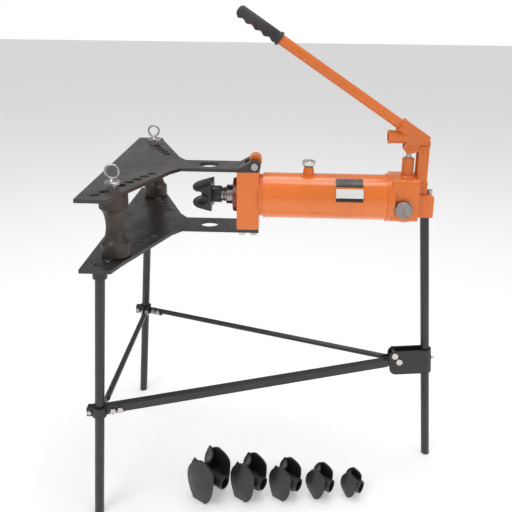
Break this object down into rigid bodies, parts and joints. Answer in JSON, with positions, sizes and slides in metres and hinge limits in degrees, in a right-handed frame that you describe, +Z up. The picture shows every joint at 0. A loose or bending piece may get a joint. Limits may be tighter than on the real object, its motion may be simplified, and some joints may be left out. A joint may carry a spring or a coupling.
{
  "type": "manual tube bender",
  "caption": "Hydraulic tube bender on a tripod: hand pump and ram behind two wing plates that carry the rollers, a mounted former and loose formers.",
  "frame": {"origin": "on the floor, under the middle of the bounding box", "axes": "+Z up, +X along the ram towards the pump, +Y away from the side that the release knob is on"},
  "size_m": [0.8334, 0.604, 1.1461],
  "materials": {
    "orange_paint": "gloss",
    "black_paint": "semi-gloss",
    "red_paint": "semi-gloss",
    "bright_steel": "satin",
    "dark_steel": "satin",
    "cast_roller": "smooth",
    "rubber": "matte",
    "bright_cap": "bright",
    "label": "matte",
    "ring_plastic": "matte"
  },
  "bodies": {
    "frame": {"lower_wing": "black_paint", "head_block": "orange_paint", "head_block_bolts": "bright_steel", "hinge_pin": "bright_steel", "gland_ring": "red_paint", "gland_set_screw": "dark_steel", "rod_seal": "rubber", "pressure_cylinder": "dark_steel", "reservoir_tube": "orange_paint", "front_collar": "orange_paint", "filler_neck": "orange_paint", "data_plate": "label", "pump_base": "orange_paint", "pump_barrel": "orange_paint", "plunger_seal": "rubber", "check_balls": "bright_steel", "check_springs": "dark_steel", "check_plugs": "red_paint", "base_pin": "orange_paint", "leg_sockets": "black_paint", "leg_near": "black_paint", "leg_far": "black_paint", "leg_rear": "black_paint", "rear_clamp": "orange_paint", "clamp_bolt": "bright_steel", "leg_collar_near": "black_paint", "leg_collar_far": "black_paint", "collar_bolts": "bright_steel", "brace_front": "black_paint", "brace_cross": "black_paint", "brace_rear": "black_paint", "rear_bracket": "black_paint", "bracket_bolts": "bright_steel"},
    "ram": {"ram_rod": "bright_steel", "nose_ring": "ring_plastic", "piston_head": "bright_steel", "piston_seal": "rubber", "return_spring": "dark_steel"},
    "former": {"mounted_former": "black_paint"},
    "wing": {"upper_wing": "black_paint"},
    "roller_near": {"roller_near": "cast_roller"},
    "roller_far": {"roller_far": "cast_roller"},
    "pin_near": {"ring_pin_near": "bright_steel"},
    "pin_far": {"ring_pin_far": "bright_steel"},
    "plunger": {"pump_plunger": "bright_steel"},
    "link": {"link_plates": "orange_paint", "link_pin": "orange_paint"},
    "rocker": {"handle_socket": "orange_paint", "plunger_pin": "orange_paint", "handle_tube": "orange_paint", "handle_grip": "rubber"},
    "valve": {"release_knob": "dark_steel", "release_spindle": "bright_steel"},
    "cap": {"filler_cap": "bright_cap", "cap_seal": "rubber"},
    "loose_1": {"loose_former_1": "black_paint"},
    "loose_2": {"loose_former_2": "black_paint"},
    "loose_3": {"loose_former_3": "black_paint"},
    "loose_4": {"loose_former_4": "black_paint"},
    "loose_5": {"loose_former_5": "black_paint"}
  },
  "joints": [
    {"name": "ram_extend", "type": "slide", "parent": "frame", "child": "ram", "axis": [-1, 0, 0], "range_m": [0, 0.2], "deforming": ["return_spring"]},
    {"name": "former_off", "type": "slide", "parent": "ram", "child": "former", "axis": [-1, 0, 0], "range_m": [0, 0.04]},
    {"name": "wing_open", "type": "hinge", "parent": "frame", "child": "wing", "pos_m": [-0.058, 0, 0.788], "axis": [0, 1, 0], "range_deg": [0, 62]},
    {"name": "roller_spin_near", "type": "hinge", "parent": "wing", "child": "roller_near", "pos_m": [-0.34043, -0.22157, 0.7], "axis": [0, 0, 1], "continuous": true},
    {"name": "roller_spin_far", "type": "hinge", "parent": "wing", "child": "roller_far", "pos_m": [-0.34043, 0.22157, 0.7], "axis": [0, 0, 1], "continuous": true},
    {"name": "pin_lift_near", "type": "slide", "parent": "wing", "child": "pin_near", "axis": [0, 0, 1], "range_m": [0, 0.17]},
    {"name": "pin_lift_far", "type": "slide", "parent": "wing", "child": "pin_far", "axis": [0, 0, 1], "range_m": [0, 0.17]},
    {"name": "link_swing", "type": "hinge", "parent": "frame", "child": "link", "pos_m": [0.331, 0, 0.748], "axis": [0, 1, 0], "range_deg": [-4.8, 1.2]},
    {"name": "handle_pump", "type": "hinge", "parent": "link", "child": "rocker", "pos_m": [0.331, 0, 0.827], "axis": [0, 1, 0], "range_deg": [-8, 35]},
    {"name": "plunger_slide", "type": "slide", "parent": "frame", "child": "plunger", "axis": [0, 0, 1], "range_m": [-0.0037, 0.0157]},
    {"name": "release_turn", "type": "hinge", "parent": "frame", "child": "valve", "pos_m": [0.286, -0.055, 0.697], "axis": [0, -1, 0], "range_deg": [0, 270]},
    {"name": "cap_turn", "type": "hinge", "parent": "frame", "child": "cap", "pos_m": [0.068, 0, 0.79], "axis": [0, 0, 1], "continuous": true},
    {"name": "lift_1", "type": "slide", "parent": "frame", "child": "loose_1", "axis": [0, 0, 1], "range_m": [0, 0.1]},
    {"name": "lift_2", "type": "slide", "parent": "frame", "child": "loose_2", "axis": [0, 0, 1], "range_m": [0, 0.1]},
    {"name": "lift_3", "type": "slide", "parent": "frame", "child": "loose_3", "axis": [0, 0, 1], "range_m": [0, 0.1]},
    {"name": "lift_4", "type": "slide", "parent": "frame", "child": "loose_4", "axis": [0, 0, 1], "range_m": [0, 0.1]},
    {"name": "lift_5", "type": "slide", "parent": "frame", "child": "loose_5", "axis": [0, 0, 1], "range_m": [0, 0.1]}
  ],
  "couplings": [
    {"joint": "link_swing", "follows": "handle_pump", "ratio": -0.135},
    {"joint": "plunger_slide", "follows": "handle_pump", "m_per_rad": 0.0255}
  ]
}
